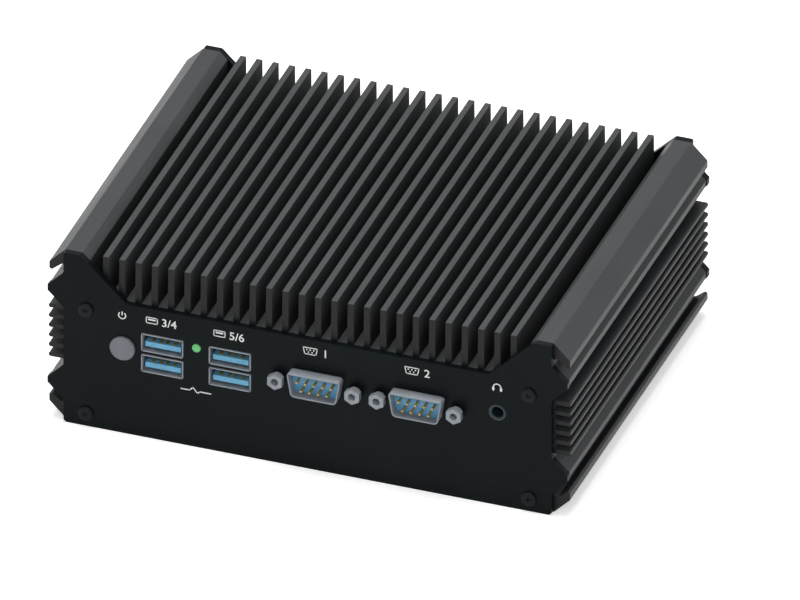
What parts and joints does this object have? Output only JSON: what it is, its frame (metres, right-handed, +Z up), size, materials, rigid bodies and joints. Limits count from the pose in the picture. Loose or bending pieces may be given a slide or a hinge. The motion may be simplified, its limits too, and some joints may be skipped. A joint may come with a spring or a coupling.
{
  "type": "fanless industrial pc",
  "caption": "Low box-shaped computer cooled by a finned aluminium housing, with flat end panels, sockets front and rear, and a push button",
  "frame": {"origin": "middle of the flat underside that the case stands on", "axes": "+Z up out of the fins, front panel with the power button towards -Y, +X to the right seen from the front"},
  "size_m": [0.169, 0.1308, 0.0607],
  "materials": {
    "anodised_extrusion": "black anodised, satin",
    "coated_panel": "black powder coat, fine satin",
    "black_screws": "black zinc",
    "zinc_steel": "zinc plated",
    "bare_steel": "nickel plated",
    "nickel_brass": "nickel plated",
    "gold_brass": "gold plated",
    "plated_shell": "nickel plated sheet",
    "can_aluminium": "bright",
    "circuit_board": "glass fibre board, solder resist",
    "thermal_pad": "soft filled silicone",
    "ferrite": "moulded ferrite, dull",
    "chip_resin": "moulded resin",
    "black_plastic": "moulded",
    "slate_plastic": "moulded",
    "grey_plastic": "moulded, satin",
    "green_lens": "translucent, lit",
    "blue_insulator": "moulded",
    "serial_blue": "moulded"
  },
  "bodies": {
    "case": {"audio_jack": "slate_plastic", "board_screws": "zinc_steel", "board_spacers": "nickel_brass", "bottom_cover": "coated_panel", "bottom_cover_screws": "black_screws", "capacitors": "can_aluminium", "cell_holder": "black_plastic", "coin_cell": "bare_steel", "dc_jack": "black_plastic", "dc_jack_pin": "gold_brass", "drive_screw": "zinc_steel", "drive_socket": "black_plastic", "drive_standoff": "nickel_brass", "front_panel": "coated_panel", "front_panel_screws": "black_screws", "heatsink_housing": "anodised_extrusion", "interface_chips": "chip_resin", "lan_contacts_1": "gold_brass", "lan_contacts_2": "gold_brass", "lan_insert_1": "black_plastic", "lan_insert_2": "black_plastic", "lan_shell_1": "plated_shell", "lan_shell_2": "plated_shell", "led_holder": "black_plastic", "led_lens": "green_lens", "mainboard": "circuit_board", "memory_module": "circuit_board", "memory_socket": "black_plastic", "power_inductors": "ferrite", "processor": "bare_steel", "rear_panel": "coated_panel", "rear_panel_screws": "black_screws", "serial_insulator_1": "serial_blue", "serial_insulator_2": "serial_blue", "serial_jackscrews_1": "plated_shell", "serial_jackscrews_2": "plated_shell", "serial_pins_1": "gold_brass", "serial_pins_2": "gold_brass", "serial_shell_1": "plated_shell", "serial_shell_2": "plated_shell", "solid_state_drive": "circuit_board", "switch_housing": "black_plastic", "thermal_pad": "thermal_pad", "usb_contacts_left": "gold_brass", "usb_contacts_rear": "gold_brass", "usb_contacts_right": "gold_brass", "usb_insulator_left": "blue_insulator", "usb_insulator_rear": "blue_insulator", "usb_insulator_right": "blue_insulator", "usb_shell_left": "plated_shell", "usb_shell_rear": "plated_shell", "usb_shell_right": "plated_shell", "video_shell_a": "plated_shell", "video_shell_b": "plated_shell", "video_tongue_a": "black_plastic", "video_tongue_b": "black_plastic"},
    "button": {"power_button": "grey_plastic", "switch_plunger": "black_plastic"}
  },
  "joints": [
    {"name": "button_press", "type": "slide", "parent": "case", "child": "button", "axis": [0, 1, 0], "range_m": [0, 0.0008], "stiffness_N_per_m": 400, "springref_m": -0.002}
  ]
}
